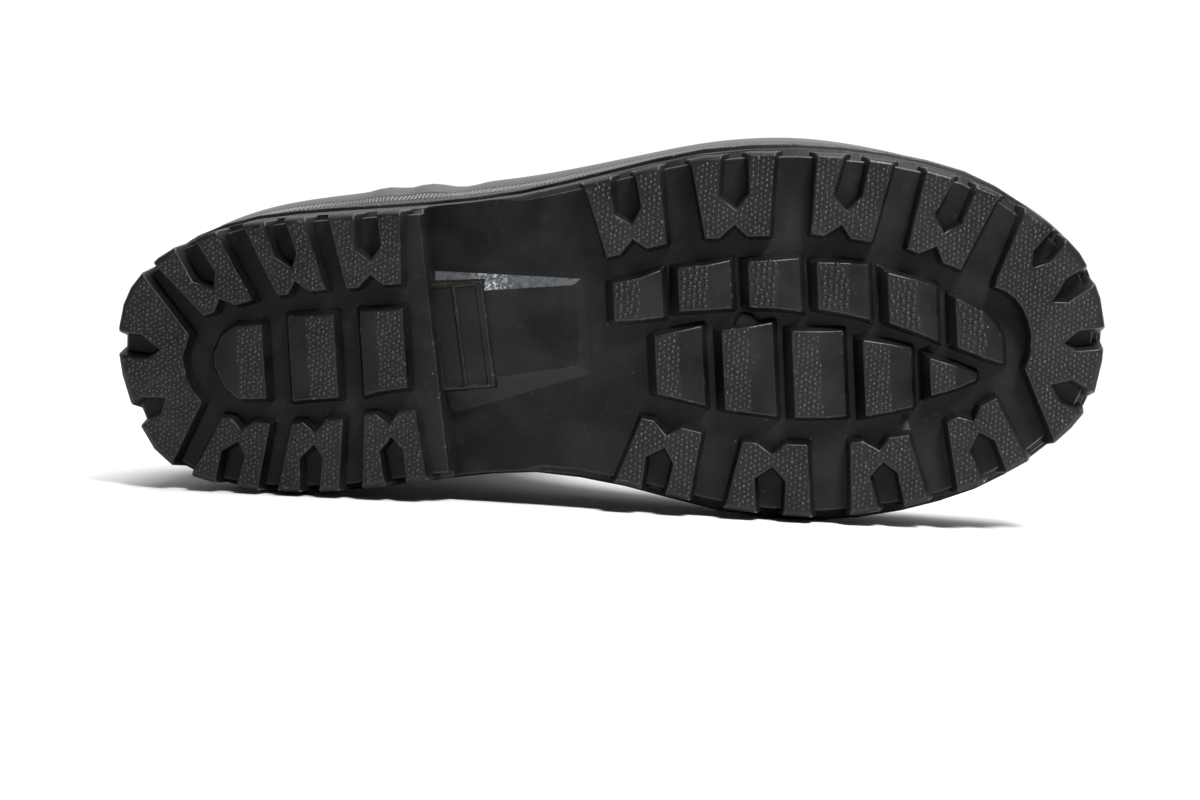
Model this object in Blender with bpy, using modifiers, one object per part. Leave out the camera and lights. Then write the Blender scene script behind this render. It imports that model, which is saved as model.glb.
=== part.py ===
# Right-foot rubber work boot, lying on its inner side with the sole facing -Y.
# Shapes are worked out standing, in millimetres: x from heel to toe, y towards
# the inner (big toe) side, z up from the ground. They are laid down at the end.
import math

import bmesh
import bpy
from mathutils import Matrix, Vector

MM = 0.001

TREAD_DEPTH = 6.0       # ground to the floor of the grooves
RIB_TOP = 12.0          # upper end of the lugs on the side of the sole
LUG_DRAFT = 10.0        # slope of lug walls, degrees
HEEL_SEAT = 31.0        # ground to the top of the sole under the heel
FORE_SEAT = 18.0        # ground to the top of the sole under the ball
SEAT_FALL = (85.0, 185.0)
SPRING_START = 190.0    # the sole curves up from here to the toe
SPRING_RADIUS = 520.0
BREAST_X = 95.5         # front face of the heel, on the axis
BREAST_SKEW = 0.06      # it leans forward towards the inner side
ARCH_TOP = 16.5         # ground to the waist just before the heel
ARCH_END = 150.0
WALL = 2.4              # thickness of the upper
GAP = 0.35              # clearance between pieces
INSOLE = 3.0
EDGE_STEPS = 2          # curve points for each row of the outline

HEEL_TIP = Vector((0.0, -3.0))
TOE_TIP = Vector((294.2, 4.0))

# Edge of the tread: x, reach to the outer side, reach to the inner side
OUTLINE = (
    (2.5, 17.0, 12.0),
    (9.0, 26.3, 27.3),
    (21.0, 34.3, 36.3),
    (40.0, 39.4, 41.3),
    (66.0, 40.7, 42.4),
    (94.0, 41.1, 40.2),
    (122.0, 43.0, 39.1),
    (150.0, 47.7, 44.0),
    (178.0, 52.3, 52.0),
    (206.0, 52.4, 56.1),
    (232.0, 48.6, 54.4),
    (254.0, 42.0, 49.2),
    (271.0, 33.0, 42.0),
    (283.0, 23.5, 33.5),
    (290.5, 12.5, 23.0),
)

TOE_TUCK = 1.7          # how far all above the lugs stands back from their ends around the toe
TUCK_START = (254.0, 280.0)

# Side of the sole: datum (ground or seat), height above it, reach past the tread edge
SIDE_STEPS = (
    ("ground", TREAD_DEPTH, -1.8),
    ("ground", 11.0, -1.5),
    ("ground", RIB_TOP + 0.2, 0.3),
    ("seat", -5.5, 1.0),
    ("seat", -5.0, 0.0),
    ("seat", -4.0, 0.0),
    ("seat", -3.4, 2.2),
    ("seat", 0.0, 2.2),
)

# Lugs at the edge: side, x of both corners at the edge, then both inner corners
EDGE_LUGS = (
    (-1, 13.0, 32.5, (27.3, -12.3), (42.4, -16.3)),
    (-1, 40.5, 59.5, (50.0, -17.2), (64.5, -18.3)),
    (-1, 66.5, 88.3, (70.8, -18.3), (87.4, -19.0)),
    (1, 20.2, 40.3, (30.8, 18.1), (45.5, 20.9)),
    (1, 46.3, 65.0, (51.9, 20.8), (67.6, 20.3)),
    (1, 72.0, 91.8, (74.0, 19.4), (89.4, 18.6)),
    (-1, 142.8, 165.3, (148.7, -23.7), (166.5, -26.9)),
    (-1, 174.4, 199.5, (177.7, -27.8), (196.6, -27.7)),
    (-1, 211.3, 233.7, (208.6, -27.7), (226.1, -24.5)),
    (-1, 242.9, 264.1, (236.2, -22.0), (251.7, -15.1)),
    (1, 147.2, 169.4, (156.4, 23.8), (174.2, 29.0)),
    (1, 179.6, 205.3, (185.8, 32.2), (205.1, 33.9)),
    (1, 216.8, 240.0, (217.4, 33.9), (234.7, 32.4)),
    (1, 248.4, 269.9, (245.9, 29.1), (260.8, 22.9)),
)

# Plan of one edge lug: share across from heel to toe, share inward from the edge
LUG_PLAN = (
    (0.0, -0.2), (0.40, -0.2), (0.28, 0.49), (0.50, 0.67), (0.68, 0.48), (0.68, -0.2),
    (1.0, -0.2), (1.0, 1.0), (0.66, 1.0), (0.47, 0.84), (0.22, 1.0), (0.0, 1.0),
)

# Curved lugs around the heel and toe: inner corners, then notches from the edge
HEEL_INNER = (
    (13.7, 34.1), (25.3, 13.4), (22.8, 10.0), (20.8, 5.0), (20.3, -0.5), (22.7, -6.8), (8.4, -27.7),
)
HEEL_ENDS = ((12.0, -29.5), (15.0, 33.0))
HEEL_NOTCHES = (  # two points at the mouth, two shoulders, the tip
    ((0.0, -9.0), (0.0, -2.6), (8.1, -7.5), (9.5, -0.5), (13.6, -2.7)),
    ((2.0, 15.2), (4.2, 20.8), (6.8, 11.0), (12.3, 16.4), (14.4, 11.7)),
)
TOE_INNER = (
    (271.6, -32.8), (262.1, -12.5), (261.4, -9.6), (264.5, -8.1), (267.2, -5.9), (269.3, -2.9),
    (270.8, 0.8), (271.5, 5.2), (271.1, 9.8), (269.3, 14.8), (277.9, 38.4),
)
TOE_NOTCHES = (
    ((279.6, -26.8), (283.2, -24.2), (273.2, -19.5), (277.8, -16.1), (272.7, -14.6)),
    ((288.9, -14.8), (291.0, -9.9), (282.5, -10.9), (282.9, -4.1), (278.3, -4.4)),
    ((293.5, 4.0), (293.3, 9.8), (285.6, 4.6), (284.7, 10.4), (281.2, 8.0)),
    ((288.9, 23.7), (286.4, 29.0), (283.1, 18.8), (279.6, 25.4), (277.0, 20.0)),
)

# Centre blocks: x, outer edge y, inner edge y and depth of the top, a row for each cross line
BLOCKS = (
    ((29.0, -0.6, 2.6, 2.0), (32.0, -6.2, 9.6, 1.3), (36.5, -9.0, 13.1, 0.0), (44.8, -8.8, 13.4, 0.0)),
    ((52.2, -11.2, 14.6, 2.0), (58.0, -11.1, 14.2, 0.0), (66.6, -10.8, 14.0, 0.0)),
    ((74.0, -11.8, 13.8, 2.0), (78.9, -11.4, 12.7, 0.0), (87.4, -11.6, 11.9, 0.0)),
    (
        (148.2, -16.0, -4.9, 4.0), (150.1, -16.3, -4.9, 0.0),
        (157.8, -17.3, -5.0, 0.0), (164.5, -19.5, -5.3, 2.4),
    ),
    (
        (167.4, -19.5, -6.9, 4.0), (169.3, -19.6, -6.9, 0.0),
        (177.9, -20.2, -7.0, 0.0), (184.8, -21.3, -7.0, 2.4),
    ),
    (
        (188.0, -20.6, -7.4, 4.0), (189.9, -20.6, -7.2, 0.0),
        (198.4, -20.7, -6.4, 0.0), (205.1, -20.9, -5.1, 2.4),
    ),
    (
        (208.0, -19.6, -6.2, 4.0), (209.9, -19.5, -5.7, 0.0),
        (218.9, -18.8, -3.6, 0.0), (225.0, -17.8, -1.6, 2.4),
    ),
    (
        (228.5, -16.0, -1.4, 4.0), (230.4, -15.4, -0.6, 0.0),
        (239.0, -12.8, 2.9, 0.0), (244.5, -10.6, 5.6, 2.4),
    ),
    (
        (248.0, -8.0, 6.6, 4.0), (249.9, -7.0, 7.5, 0.0), (258.2, -2.5, 11.2, 0.0),
        (261.8, 1.8, 12.6, 1.4), (263.4, 6.0, 12.8, 2.0),
    ),
    ((159.7, 0.4, 16.6, 4.0), (161.6, 0.0, 17.1, 0.0), (168.6, -1.3, 19.0, 0.0), (175.6, -2.4, 21.4, 2.4)),
    (
        (179.5, -0.8, 22.2, 4.0), (181.4, -0.9, 22.6, 0.0),
        (189.1, -1.5, 24.0, 0.0), (196.4, -2.4, 25.5, 2.4),
    ),
    ((199.9, 0.2, 25.7, 4.0), (201.8, 0.3, 25.8, 0.0), (210.0, 0.7, 26.2, 0.0), (216.7, 1.0, 26.4, 2.4)),
    ((220.5, 3.5, 26.7, 4.0), (222.4, 3.9, 26.4, 0.0), (230.1, 5.4, 25.4, 0.0), (236.5, 7.1, 24.4, 2.4)),
    (
        (239.8, 9.4, 21.7, 4.0), (241.7, 10.1, 21.3, 0.0),
        (249.0, 12.8, 19.6, 0.0), (255.2, 15.5, 17.7, 2.4),
    ),
)

# Raised shank cover in the waist, its root under the arch: x, outer y, inner y, z
SHANK_COVER = ((93.0, -15.3, 12.6, 12.9), (138.5, -16.0, 8.0, 6.6))
SHANK_ROOT = ((93.0, -24.5, 24.5, 18.3), (143.5, -19.7, 12.3, 7.85))
# Bare plate on the heel end of the cover, with its two sunk fields: x at the middle, outer y, inner y, z
PLATE = ((95.1, -18.1, 14.0, 10.2), (111.6, -18.4, 13.3, 9.2))
PLATE_FIELDS = (
    ((96.3, -16.9, 12.9), (102.0, -16.9, 12.7)),
    ((103.2, -17.0, 12.6), (109.4, -17.2, 12.3)),
)
PLATE_SKEW = 0.075      # how far the plate leans towards the toe for each mm inwards
FIELD_DEPTH = 0.6
BLOCK_FLARE = 1.8       # how far the walls of a block widen to their root
PLATE_FLARE = 1.5

# Edge of the tread, where the ends of the lugs roll over: height, reach past the tread edge
TREAD_ROLL = ((-1.0, -2.4), (0.0, -1.7), (0.7, -0.9), (1.8, -0.4), (RIB_TOP + 1.0, 0.0))

# Upper near the sole: rise above the seat, reach past the tread edge on the outer and inner sides,
# swell of the outer side, share of the toe tuck
FOOT_SECTIONS = (
    (GAP, -0.4, -0.4, 0.0, 1.0),
    (5.0, 0.0, 0.0, 0.0, 1.0),
    (10.0, 1.6, 0.5, 0.3, 1.0),
    (17.0, 4.1, 1.4, 1.2, 0.6),
    (26.0, 5.4, 2.0, 2.2, 0.0),
    (34.0, 5.0, 1.8, 2.0, 0.0),
)
# How much of that swell the outer side has along the foot
SWELL = ((30.0, 0.0), (80.0, 1.0), (112.0, 1.0), (165.0, 0.0), (205.0, 0.0), (250.0, -1.3), (294.0, -1.3))

# Upper above it: back x and z, front x and z, half-width of the oval that the section
# follows at heel, waist, ball and toe, sideways place of its middle
LAST_SECTIONS = (
    (-4.5, 74.0, 291.5, 59.5, 60.0, 45.5, 56.0, 63.0, -1.2),
    (-3.5, 84.5, 278.0, 68.5, 57.5, 44.5, 51.0, 57.0, -1.2),
    (-1.5, 95.0, 252.0, 75.5, 54.5, 43.5, 46.0, 48.0, -0.9),
    (1.5, 106.0, 220.0, 83.0, 52.0, 43.0, 42.5, 43.0, -0.5),
    (4.5, 117.0, 189.0, 94.0, 49.5, 43.0, 41.5, 41.5, -0.2),
    (7.0, 128.0, 164.0, 109.5, 47.5, 43.0, 42.0, 42.0, 0.0),
    (9.0, 140.0, 144.0, 129.0, 46.0, 43.0, 43.0, 43.0, 0.0),
    (10.0, 154.0, 131.0, 150.0, 45.5, 43.5, 43.5, 44.0, 0.0),
    (10.0, 173.0, 123.0, 173.0, 45.0, 44.5, 44.5, 45.0, 0.0),
    (8.0, 202.0, 120.0, 203.0, 46.5, 46.5, 46.5, 46.5, 0.6),
    (4.0, 242.0, 121.0, 242.0, 49.5, 49.5, 49.5, 49.5, 1.9),
    (-1.0, 287.0, 124.0, 287.0, 52.5, 52.5, 52.5, 52.5, 3.3),
    (-6.0, 332.0, 128.0, 332.0, 55.0, 55.0, 55.0, 55.0, 4.7),
    (-9.8, 369.0, 131.0, 369.0, 56.4, 56.4, 56.4, 56.4, 5.8),
    (-11.4, 370.5, 132.6, 370.5, 58.0, 58.0, 58.0, 58.0, 5.8),
    (-11.8, 380.0, 133.0, 380.0, 58.4, 58.4, 58.4, 58.4, 6.0),
    (-11.0, 381.5, 132.2, 381.5, 57.6, 57.6, 57.6, 57.6, 6.0),
)
TOE_DROP = 0.45         # share of the rise that the lower sections lose over the toe
TOE_FALL = (215.0, 294.0)
OVAL_PLACES = (0.1, 0.4, 0.7, 0.9)   # shares of the length for those half-widths

# Rand cut from the upper's own surface: rise above the seat, reach past the upper
RAND_SECTION = ((GAP, GAP), (5.0, GAP), (9.5, GAP), (9.0, 1.3), (7.5, 1.9), (5.0, 2.0), (GAP, 2.0))

COLOURS = {"outsole": (0.028, 0.028, 0.027), "rand": (0.032, 0.032, 0.032),
           "upper": (0.03, 0.03, 0.031), "insole": (0.16, 0.17, 0.17)}


def blend(x, low, high):
    share = min(1.0, max(0.0, (x - low) / (high - low)))
    return share * share * (3.0 - 2.0 * share)


def seat(x):
    return HEEL_SEAT + (FORE_SEAT - HEEL_SEAT) * blend(x, *SEAT_FALL)


def spring(x):
    return max(0.0, x - SPRING_START) ** 2 / (2.0 * SPRING_RADIUS)


def row_value(rows, x, column):
    # Value of a table column at x, straight between rows and level past the ends
    if x <= rows[0][0]:
        return rows[0][column]
    for low, high in zip(rows, rows[1:]):
        if x <= high[0]:
            share = (x - low[0]) / (high[0] - low[0])
            return low[column] + (high[column] - low[column]) * share
    return rows[-1][column]


def closed_curve(points, steps):
    # Smooth curve through a closed list of points
    curve = []
    count = len(points)
    for i, b in enumerate(points):
        a = points[i - 1]
        c = points[(i + 1) % count]
        d = points[(i + 2) % count]
        for k in range(steps):
            t = k / steps
            bend = (2.0 * a - 5.0 * b + 4.0 * c - d) * t * t
            twist = (3.0 * b - a - 3.0 * c + d) * t ** 3
            curve.append(0.5 * (2.0 * b + (c - a) * t + bend + twist))
    return curve


def tread_edge(outer, inner, swell=0.0, tuck=0.0):
    # Points around the tread edge, moved outward on each side and tucked in at the toe
    outer_side = [Vector((x, -reach)) for x, reach, _ in OUTLINE]
    inner_side = [Vector((x, reach)) for x, _, reach in reversed(OUTLINE)]
    curve = closed_curve([HEEL_TIP] + outer_side + [TOE_TIP] + inner_side, EDGE_STEPS)
    moved = []
    for i, point in enumerate(curve):
        along = curve[(i + 1) % len(curve)] - curve[i - 1]
        normal = Vector((along.y, -along.x)).normalized()
        reach = 0.5 * (outer + inner) + 0.5 * (inner - outer) * normal.y
        reach += swell * row_value(SWELL, point.x, 1) * max(0.0, -normal.y)
        reach -= tuck * TOE_TUCK * blend(point.x, *TUCK_START)
        moved.append(point + normal * reach)
    return moved


def edge_point(x, side):
    column = 1 if side < 0 else 2
    return Vector((x, side * row_value(OUTLINE, x, column)))


def foot_ring(rise, extra=0.0):
    # Section of the upper near the sole, parallel to the seat but lower over the toe
    outer = row_value(FOOT_SECTIONS, rise, 1) + extra
    inner = row_value(FOOT_SECTIONS, rise, 2) + extra
    drop = TOE_DROP * max(0.0, rise - RAND_SECTION[2][0])
    ring = []
    tuck = row_value(FOOT_SECTIONS, rise, 4)
    for p in tread_edge(outer, inner, row_value(FOOT_SECTIONS, rise, 3), tuck):
        height = seat(p.x) + spring(p.x) + rise - drop * blend(p.x, *TOE_FALL)
        ring.append(Vector((p.x, p.y, height)))
    return ring


def last_ring(row):
    # Tilted section of the upper from its back point to its front point
    back_x, back_z, front_x, front_z = row[:4]
    places = list(zip(OVAL_PLACES, row[4:8]))
    length = TOE_TIP.x - HEEL_TIP.x
    shares = [x / length for x, _, _ in OUTLINE]
    halves = [2.0 * math.sqrt(t * (1.0 - t)) * row_value(places, t, 1) for t in shares]
    outer_side = [Vector((t, row[8] - half)) for t, half in zip(shares, halves)]
    inner_side = [Vector((t, row[8] + half)) for t, half in zip(reversed(shares), reversed(halves))]
    control = [Vector((0.0, row[8]))] + outer_side + [Vector((1.0, row[8]))] + inner_side
    stretched = []
    for p in control:
        x = back_x + (front_x - back_x) * p.x
        z = back_z + (front_z - back_z) * p.x
        stretched.append(Vector((x, p.y, z)))
    return closed_curve(stretched, EDGE_STEPS)


def new_object(name, mesh, collection):
    data = bpy.data.meshes.new(name)
    mesh.to_mesh(data)
    mesh.free()
    thing = bpy.data.objects.new(name, data)
    collection.objects.link(thing)
    return thing


def loft(rings, ring_closed=False, capped=True):
    # Skin through rings of equally many points; strips from side to side close both ends
    mesh = bmesh.new()
    loops = [[mesh.verts.new(p) for p in ring] for ring in rings]
    pairs = list(zip(loops, loops[1:]))
    if ring_closed:
        pairs.append((loops[-1], loops[0]))
    for low, high in pairs:
        for i in range(len(low)):
            mesh.faces.new((low[i - 1], low[i], high[i], high[i - 1]))
    if capped:
        for loop in (loops[0], loops[-1]):
            cap(mesh, loop)
    bmesh.ops.recalc_face_normals(mesh, faces=mesh.faces)
    return mesh


def cap(mesh, loop):
    # Strips across a loop that runs out along one side and back along the other
    count = len(loop)
    for i in range(count // 2):
        corners = (loop[i], loop[i + 1], loop[(count - i - 1) % count], loop[(count - i) % count])
        mesh.faces.new(list(dict.fromkeys(corners)))


def spread(points, reach):
    # Closed plan with every side moved outward
    wide = []
    for i, p in enumerate(points):
        before = (p - points[i - 1]).normalized()
        after = (points[(i + 1) % len(points)] - p).normalized()
        outward = Vector((before.y + after.y, -before.x - after.x))
        wide.append(p + outward * reach / (1.0 + before.dot(after)))
    return wide


def turned_left(points):
    area = sum(a.x * b.y - b.x * a.y for a, b in zip(points, points[1:] + points[:1]))
    return points if area > 0.0 else list(reversed(points))


def add_stud(mesh, plan):
    # Flat-topped lug with drafted walls, from the ground into the sole
    plan = turned_left(plan)
    wide = spread(plan, math.tan(math.radians(LUG_DRAFT)) * RIB_TOP)
    tops = [mesh.verts.new((p.x, p.y, 0.0)) for p in plan]
    feet = [mesh.verts.new((p.x, p.y, RIB_TOP + 0.6)) for p in wide]
    for i in range(len(plan)):
        mesh.faces.new((tops[i - 1], tops[i], feet[i], feet[i - 1]))
    mesh.faces.new(tops)
    mesh.faces.new(feet)


def strip(rows, skew=0.0):
    # Rim of a strip: along its outer side, then back along its inner side
    rim = [Vector((x + skew * outer, outer, z)) for x, outer, _, z in rows]
    return rim + [Vector((x + skew * inner, inner, z)) for x, _, inner, z in reversed(rows)]


def flared(rim, flare, root):
    wide = spread([p.to_2d() for p in rim], flare)
    return [Vector((p.x, p.y, root)) for p in wide]


def add_block(mesh, top, foot):
    # Block between the rim of its sloping top and the rim of its root in the sole
    tops = [mesh.verts.new(p) for p in top]
    feet = [mesh.verts.new(p) for p in foot]
    count = len(tops)
    for i in range(count):
        mesh.faces.new((tops[i - 1], tops[i], feet[i], feet[i - 1]))
    for i in range(count // 2 - 1):
        for loop in (tops, feet):
            mesh.faces.new((loop[i], loop[i + 1], loop[count - i - 2], loop[count - i - 1]))


def edge_lug(side, start, end, inner_start, inner_end):
    corners = (edge_point(start, side), edge_point(end, side), Vector(inner_start), Vector(inner_end))
    plan = []
    for across, inward in LUG_PLAN:
        at_edge = corners[0].lerp(corners[1], across)
        inside = corners[2].lerp(corners[3], across)
        plan.append(at_edge + (inside - at_edge) * inward)
    return plan


def notched_plan(inner, ends, notches, centre):
    # Plan of a curved lug: inner corners, then the edge with its notches, past the tread edge
    def outside(point):
        flat = Vector(point)
        return flat + (flat - Vector(centre)).normalized() * 4.0

    plan = [Vector(p) for p in inner]
    plan.append(outside(ends[0]))
    for mouth_start, mouth_end, shoulder_start, shoulder_end, tip in notches:
        plan.append(outside(mouth_start))
        plan.extend(Vector(p) for p in (shoulder_start, tip, shoulder_end))
        plan.append(outside(mouth_end))
    plan.append(outside(ends[1]))
    return plan


def add_prism(mesh, outline, run):
    # Straight solid from an outline, drawn out along a vector
    start = mesh.faces.new([mesh.verts.new(p) for p in outline])
    drawn = bmesh.ops.extrude_face_region(mesh, geom=[start], use_keep_orig=True)
    moved = [item for item in drawn["geom"] if isinstance(item, bmesh.types.BMVert)]
    bmesh.ops.translate(mesh, vec=run, verts=moved)
    bmesh.ops.recalc_face_normals(mesh, faces=mesh.faces)


def combine(target, tool, operation, overlapping=False):
    change = target.modifiers.new(operation.lower(), "BOOLEAN")
    change.operation = operation
    change.object = tool
    change.solver = "EXACT"
    change.use_self = overlapping
    apply_modifiers(target)


def apply_modifiers(target):
    graph = bpy.context.evaluated_depsgraph_get()
    finished = bpy.data.meshes.new_from_object(target.evaluated_get(graph))
    target.modifiers.clear()
    target.data = finished


def make_collection(name):
    collection = bpy.data.collections.new(name)
    bpy.context.scene.collection.children.link(collection)
    return collection


def make_cutter(name, mesh, collection):
    cutter = new_object(name, mesh, collection)
    cutter.hide_render = True
    cutter.display_type = "WIRE"
    return cutter


def make_outsole(parts, cutters):
    rings = []
    for datum, height, reach in SIDE_STEPS:
        base = tread_edge(reach, reach, tuck=1.0)
        rings.append([Vector((p.x, p.y, height + (seat(p.x) if datum == "seat" else 0.0))) for p in base])
    outsole = new_object("outsole", loft(rings), parts)

    arch = (
        (BREAST_X - 1.0, -1.0),
        (BREAST_X + 1.2, ARCH_TOP),
        (ARCH_END, TREAD_DEPTH - 0.5),
        (ARCH_END, -1.0),
    )
    half_cut = Vector((75.0 * BREAST_SKEW, 75.0, 0.0))
    arch_cutter = bmesh.new()
    add_prism(arch_cutter, [Vector((x, 0.0, z)) - half_cut for x, z in arch], 2.0 * half_cut)
    combine(outsole, make_cutter("arch_cutter", arch_cutter, cutters), "DIFFERENCE")

    cover = bmesh.new()
    add_block(cover, strip(SHANK_COVER), strip(SHANK_ROOT))
    bmesh.ops.recalc_face_normals(cover, faces=cover.faces)
    combine(outsole, make_cutter("shank_cover", cover, cutters), "UNION")
    plate = bmesh.new()
    plate_rim = strip(PLATE, PLATE_SKEW)
    add_block(plate, plate_rim, flared(plate_rim, PLATE_FLARE, ARCH_TOP))
    bmesh.ops.recalc_face_normals(plate, faces=plate.faces)
    combine(outsole, make_cutter("plate", plate, cutters), "UNION")
    fields = bmesh.new()
    for field in PLATE_FIELDS:
        rows = [(x, outer, inner, row_value(PLATE, x, 3) + FIELD_DEPTH) for x, outer, inner in field]
        add_prism(fields, strip(rows, PLATE_SKEW), Vector((0.0, 0.0, -3.0)))
    combine(outsole, make_cutter("plate_fields", fields, cutters), "DIFFERENCE")

    tread = bmesh.new()
    for row in EDGE_LUGS:
        add_stud(tread, edge_lug(*row))
    add_stud(tread, notched_plan(HEEL_INNER, HEEL_ENDS, HEEL_NOTCHES, (40.0, 0.0)))
    toe_ends = (TOE_INNER[0], TOE_INNER[-1])
    add_stud(tread, notched_plan(tuple(reversed(TOE_INNER)), toe_ends, TOE_NOTCHES, (240.0, 5.0)))
    for rows in BLOCKS:
        rim = strip(rows)
        add_block(tread, rim, flared(rim, BLOCK_FLARE, TREAD_DEPTH + 2.0))
    bmesh.ops.recalc_face_normals(tread, faces=tread.faces)
    lugs = make_cutter("lugs", tread, cutters)
    envelope = []
    for height, reach in TREAD_ROLL:
        envelope.append([Vector((p.x, p.y, height)) for p in tread_edge(reach, reach)])
    combine(lugs, make_cutter("tread_envelope", loft(envelope), cutters), "INTERSECT", True)
    combine(outsole, lugs, "UNION")
    bend_toe(outsole)
    return outsole


def bend_toe(thing):
    mesh = bmesh.new()
    mesh.from_mesh(thing.data)
    for k in range(7):
        everything = mesh.verts[:] + mesh.edges[:] + mesh.faces[:]
        place = (SPRING_START + 15.0 * k, 0.0, 0.0)
        bmesh.ops.bisect_plane(mesh, geom=everything, dist=1e-5, plane_co=place, plane_no=(1.0, 0.0, 0.0))
    bmesh.ops.triangulate(mesh, faces=mesh.faces)
    for v in mesh.verts:
        v.co.z += spring(v.co.x)
    bmesh.ops.remove_doubles(mesh, verts=mesh.verts, dist=0.01)
    bmesh.ops.dissolve_degenerate(mesh, edges=mesh.edges, dist=0.01)
    mesh.to_mesh(thing.data)
    mesh.free()


def make_upper(parts):
    rings = [foot_ring(row[0]) for row in FOOT_SECTIONS] + [last_ring(row) for row in LAST_SECTIONS]
    upper = new_object("upper", loft(rings, capped=False), parts)
    wall = upper.modifiers.new("wall", "SOLIDIFY")
    wall.thickness = WALL
    wall.offset = -1.0
    wall.use_even_offset = True
    apply_modifiers(upper)
    return upper


def make_rand(parts):
    rings = [foot_ring(rise, reach) for rise, reach in RAND_SECTION]
    return new_object("rand", loft(rings, ring_closed=True, capped=False), parts)


def make_insole(parts):
    inset = -WALL - GAP - 0.1
    edge = ((0.0, 0.0), (INSOLE - 0.6, 0.0), (INSOLE, 0.6))
    rings = [foot_ring(GAP + rise, inset - round_off) for rise, round_off in edge]
    return new_object("insole", loft(rings), parts)


def lay_down(things):
    # Turn the boot until ball, heel and collar touch one plane on the inner side, then lay that plane down
    points = [v.co.copy() for thing in things for v in thing.data.vertices]
    ball_end = [p for p in points if p.x > 150.0 and p.z < 120.0]
    heel_end = [p for p in points if p.x < 110.0 and p.z < 120.0]
    collar_end = [p for p in points if p.z > 300.0]
    turn = Matrix.Identity(4)
    for _ in range(12):
        touching = []
        for region in (ball_end, heel_end, collar_end):
            touching.append(max((turn @ p for p in region), key=lambda p: p.y))
        ball, heel, collar = touching
        normal = (ball - heel).cross(collar - heel).normalized()
        if normal.y < 0.0:
            normal.negate()
        turn = normal.rotation_difference(Vector((0.0, 1.0, 0.0))).to_matrix().to_4x4() @ turn
    turn = Matrix.Rotation(math.radians(-90.0), 4, "X") @ turn
    laid = [turn @ p for p in points]
    low = Vector([min(p[k] for p in laid) for k in range(3)])
    high = Vector([max(p[k] for p in laid) for k in range(3)])
    shift = Vector((-(low.x + high.x) / 2.0, -(low.y + high.y) / 2.0, -low.z))
    place = Matrix.Translation(shift) @ turn
    for thing in things:
        thing.data.transform(Matrix.Scale(MM, 4) @ place)
    print("standing to lying, mm:", [[round(value, 5) for value in row] for row in place])


def add_material(thing, colour):
    material = bpy.data.materials.new(thing.name)
    material.use_nodes = True
    shader = material.node_tree.nodes["Principled BSDF"]
    shader.inputs["Base Color"].default_value = (*colour, 1.0)
    shader.inputs["Roughness"].default_value = 0.55
    thing.data.materials.clear()
    thing.data.materials.append(material)


for old in list(bpy.data.objects):
    bpy.data.objects.remove(old, do_unlink=True)
boot = make_collection("rubber_boot")
helpers = make_collection("cutters")
pieces = [make_outsole(boot, helpers), make_rand(boot), make_upper(boot), make_insole(boot)]
lay_down(pieces)
for piece in pieces:
    add_material(piece, COLOURS[piece.name])
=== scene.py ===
import math
import bmesh
import bpy
import numpy as np
from mathutils import Matrix, Vector
from mathutils.bvhtree import BVHTree


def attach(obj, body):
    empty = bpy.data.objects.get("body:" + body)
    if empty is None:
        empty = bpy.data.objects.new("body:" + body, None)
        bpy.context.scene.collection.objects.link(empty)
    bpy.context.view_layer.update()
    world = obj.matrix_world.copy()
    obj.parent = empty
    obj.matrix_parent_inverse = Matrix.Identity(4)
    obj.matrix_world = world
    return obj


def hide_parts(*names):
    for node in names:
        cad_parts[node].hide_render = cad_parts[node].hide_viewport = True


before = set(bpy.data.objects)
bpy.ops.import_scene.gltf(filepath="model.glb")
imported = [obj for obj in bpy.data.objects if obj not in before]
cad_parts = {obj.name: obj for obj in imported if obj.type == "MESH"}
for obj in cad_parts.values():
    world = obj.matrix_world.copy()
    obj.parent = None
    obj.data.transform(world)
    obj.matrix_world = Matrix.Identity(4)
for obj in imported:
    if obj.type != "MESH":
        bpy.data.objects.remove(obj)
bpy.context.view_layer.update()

lying = Matrix((
    (0.99568, 0.09285, -0.00195, -142.39374),
    (-0.00312, 0.05445, 0.99851, -190.41672),
    (0.09282, -0.99419, 0.0545, 38.03821),
    (0.0, 0.0, 0.0, 1.0),
))  # boot standing on its sole, in mm, to boot lying on its inner side
toWorld = Matrix.Scale(0.001, 4) @ lying
toBoot = toWorld.inverted()


def linear(code):
    channels = [int(code[i:i + 2], 16) / 255.0 for i in (1, 3, 5)]  # sRGB hex, as the photo is read
    return [c / 12.92 if c <= 0.04045 else ((c + 0.055) / 1.055) ** 2.4 for c in channels] + [1.0]


def addNode(tree, kind, settings=None, inputs=None):
    node = tree.nodes.new(kind)
    for name, value in (settings or {}).items():
        setattr(node, name, value)
    for name, value in (inputs or {}).items():
        if isinstance(value, bpy.types.Node):
            value = value.outputs[0]
        if isinstance(value, bpy.types.NodeSocket):
            tree.links.new(value, node.inputs[name])
        else:
            node.inputs[name].default_value = value
    return node


def newMaterial(name):
    material = bpy.data.materials.new(name)
    material.use_nodes = True
    return material, material.node_tree, material.node_tree.nodes["Principled BSDF"]


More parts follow.
